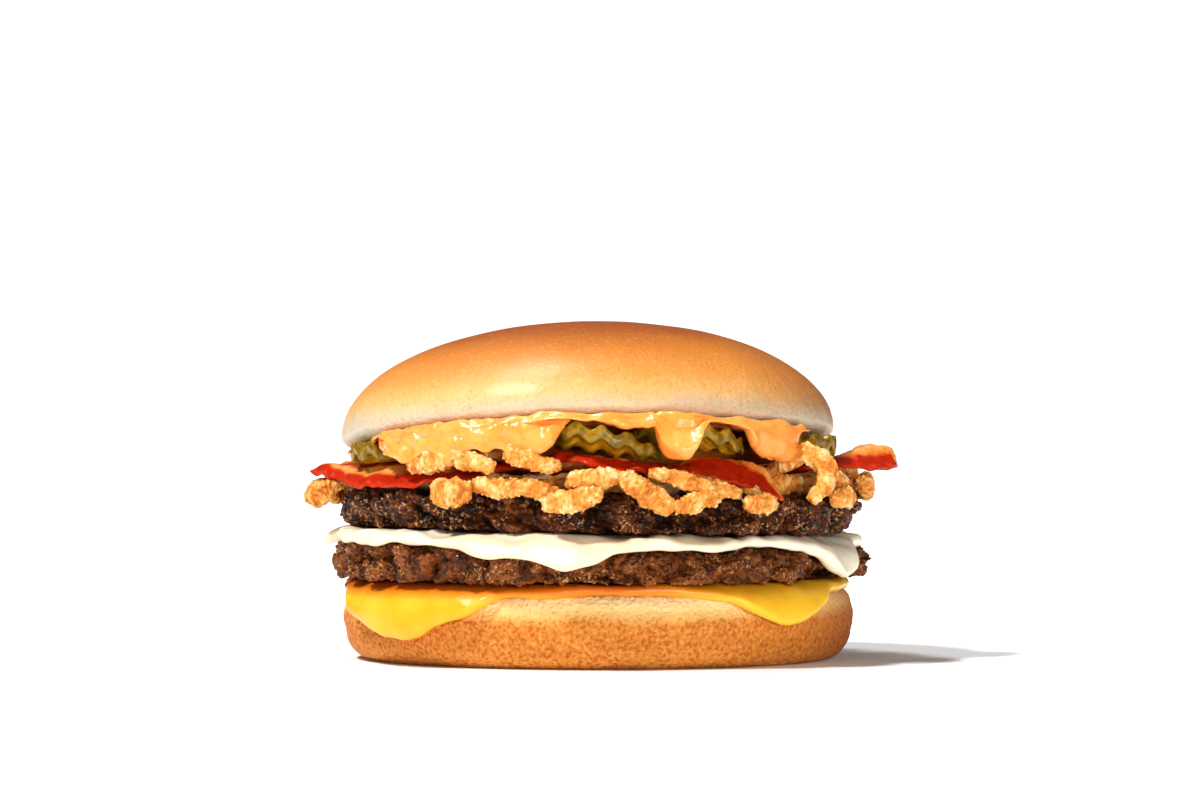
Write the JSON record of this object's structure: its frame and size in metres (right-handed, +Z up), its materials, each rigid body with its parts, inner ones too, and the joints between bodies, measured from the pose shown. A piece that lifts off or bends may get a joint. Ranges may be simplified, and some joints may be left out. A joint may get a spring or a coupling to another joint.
{
  "type": "double cheeseburger",
  "caption": "Stacked double cheeseburger in a plain soft bun, with two cheeses, bacon strips, crisp fried onions, crinkle-cut pickles and a creamy sauce.",
  "frame": {"origin": "middle of the flat base of the bottom bun, on the surface the burger rests on", "axes": "+Z up through the stack, +X to the right as seen from the front, which faces -Y"},
  "size_m": [0.1176, 0.1118, 0.0672],
  "materials": {
    "bun_crust": "soft baked crust, golden brown, paler at the cut edge",
    "yellow_cheese": "smooth and shiny, melted",
    "white_cheese": "smooth, melted",
    "grilled_beef": "rough, dark brown, moist",
    "bacon": "fried, red lean with golden fat",
    "fried_onion": "crisp golden crumb",
    "pickle": "wet, dark green skin",
    "burger_sauce": "thick, creamy and shiny"
  },
  "bodies": {
    "root": {"bun_bottom": "bun_crust", "cheese_yellow": "yellow_cheese", "patty_lower": "grilled_beef", "cheese_white": "white_cheese", "patty_upper": "grilled_beef", "onions_lower": "fried_onion", "bacon_front": "bacon", "bacon_right": "bacon", "onions_upper": "fried_onion", "pickle_left": "pickle", "pickle_front": "pickle", "pickle_front_right": "pickle", "pickle_right": "pickle", "pickle_back": "pickle", "sauce": "burger_sauce", "bun_top": "bun_crust"}
  },
  "joints": []
}
